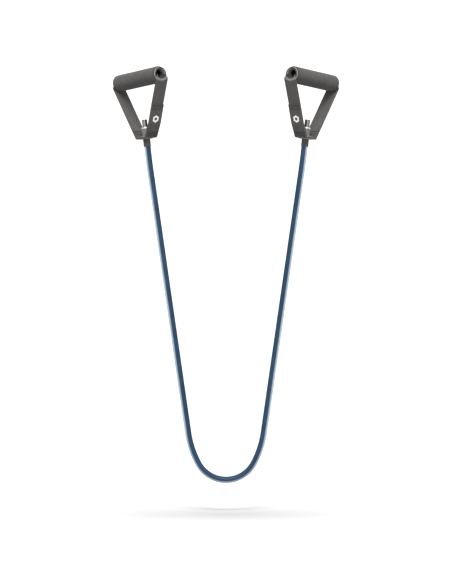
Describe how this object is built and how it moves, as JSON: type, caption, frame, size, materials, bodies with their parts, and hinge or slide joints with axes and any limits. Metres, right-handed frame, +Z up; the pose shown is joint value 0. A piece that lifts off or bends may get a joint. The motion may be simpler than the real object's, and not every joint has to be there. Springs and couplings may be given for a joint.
{
  "type": "resistance band",
  "caption": "Elastic exercise tube hanging in a U, each end anchored in a webbing stirrup handle with a rotating foam grip.",
  "frame": {"origin": "the lowest point of the tube, midway between the handles", "axes": "+Z up along the hanging band, X from the left handle to the right one, -Y towards the viewer"},
  "size_m": [0.3946, 0.1175, 0.7134],
  "materials": {
    "tube_latex": "satin, slightly translucent at the edges",
    "sleeve_rubber": "matt moulded rubber",
    "grommet_metal": "satin",
    "bushing_plastic": "moulded, light grey-green",
    "clamp_metal": "bright",
    "plug_metal": "satin",
    "strap_webbing": "heather grey polyester webbing",
    "strap_thread": "dark bonded thread",
    "print_white": "white transfer print",
    "grip_foam": "closed-cell foam with a fine open skin",
    "core_plastic": "extruded rigid tube",
    "ring_plastic": "moulded grey"
  },
  "bodies": {
    "tube_bend": {"tube_bend": "tube_latex"},
    "left_leg": {"left_tube_lower": "tube_latex"},
    "left_leg_end": {"left_tube_upper": "tube_latex"},
    "left_neck": {"left_tube_neck": "tube_latex", "left_guard_sleeve": "sleeve_rubber", "left_anchor_bushing": "bushing_plastic", "left_clamp_ring": "clamp_metal", "left_tube_plug": "plug_metal"},
    "left_handle": {"left_strap": "strap_webbing", "left_strap_stitching": "strap_thread", "left_strap_print": "print_white", "left_grommet_eyelet": "grommet_metal", "left_grommet_washer": "grommet_metal"},
    "left_grip": {"left_foam_grip": "grip_foam", "left_grip_core": "core_plastic", "left_grip_ring_inboard": "ring_plastic", "left_grip_ring_outboard": "ring_plastic"},
    "right_leg": {"right_tube_lower": "tube_latex"},
    "right_leg_end": {"right_tube_upper": "tube_latex"},
    "right_neck": {"right_tube_neck": "tube_latex", "right_guard_sleeve": "sleeve_rubber", "right_anchor_bushing": "bushing_plastic", "right_clamp_ring": "clamp_metal", "right_tube_plug": "plug_metal"},
    "right_handle": {"right_strap": "strap_webbing", "right_strap_stitching": "strap_thread", "right_strap_print": "print_white", "right_grommet_eyelet": "grommet_metal", "right_grommet_washer": "grommet_metal"},
    "right_grip": {"right_foam_grip": "grip_foam", "right_grip_core": "core_plastic", "right_grip_ring_inboard": "ring_plastic", "right_grip_ring_outboard": "ring_plastic"}
  },
  "joints": [
    {"name": "left_leg_swing", "type": "hinge", "parent": "tube_bend", "child": "left_leg", "pos_m": [-0.06506, 0, 0.08688], "axis": [0, -1, 0], "range_deg": [-5, 60], "stiffness_Nm_per_rad": 2.25, "springref_deg": -1.89},
    {"name": "left_stretch", "type": "slide", "parent": "left_leg", "child": "left_leg_end", "axis": [-0.1426, 0, 0.9898], "range_m": [0, 0.45], "stiffness_N_per_m": 145},
    {"name": "left_neck_bend", "type": "hinge", "parent": "left_leg_end", "child": "left_neck", "pos_m": [-0.13202, 0, 0.55158], "axis": [0, 1, 0], "range_deg": [-45, 45], "stiffness_Nm_per_rad": 0.4, "springref_deg": 1.47},
    {"name": "left_handle_swivel", "type": "hinge", "parent": "left_neck", "child": "left_handle", "pos_m": [-0.13666, 0, 0.59231], "axis": [-0.1132, 0, 0.9936], "continuous": true},
    {"name": "left_grip_spin", "type": "hinge", "parent": "left_handle", "child": "left_grip", "pos_m": [-0.14897, 0.00079, 0.69498], "axis": [0.6048, -0.7934, 0.0689], "continuous": true},
    {"name": "right_leg_swing", "type": "hinge", "parent": "tube_bend", "child": "right_leg", "pos_m": [0.06506, 0, 0.08688], "axis": [0, 1, 0], "range_deg": [-5, 60], "stiffness_Nm_per_rad": 2.25, "springref_deg": -1.89},
    {"name": "right_stretch", "type": "slide", "parent": "right_leg", "child": "right_leg_end", "axis": [0.1426, 0, 0.9898], "range_m": [0, 0.45], "stiffness_N_per_m": 145},
    {"name": "right_neck_bend", "type": "hinge", "parent": "right_leg_end", "child": "right_neck", "pos_m": [0.13202, 0, 0.55158], "axis": [0, 1, 0], "range_deg": [-45, 45], "stiffness_Nm_per_rad": 0.4, "springref_deg": -1.47},
    {"name": "right_handle_swivel", "type": "hinge", "parent": "right_neck", "child": "right_handle", "pos_m": [0.13666, 0, 0.59231], "axis": [0.1132, 0, 0.9936], "continuous": true},
    {"name": "right_grip_spin", "type": "hinge", "parent": "right_handle", "child": "right_grip", "pos_m": [0.14897, 0.00079, 0.69498], "axis": [-0.6048, -0.7934, 0.0689], "continuous": true}
  ]
}
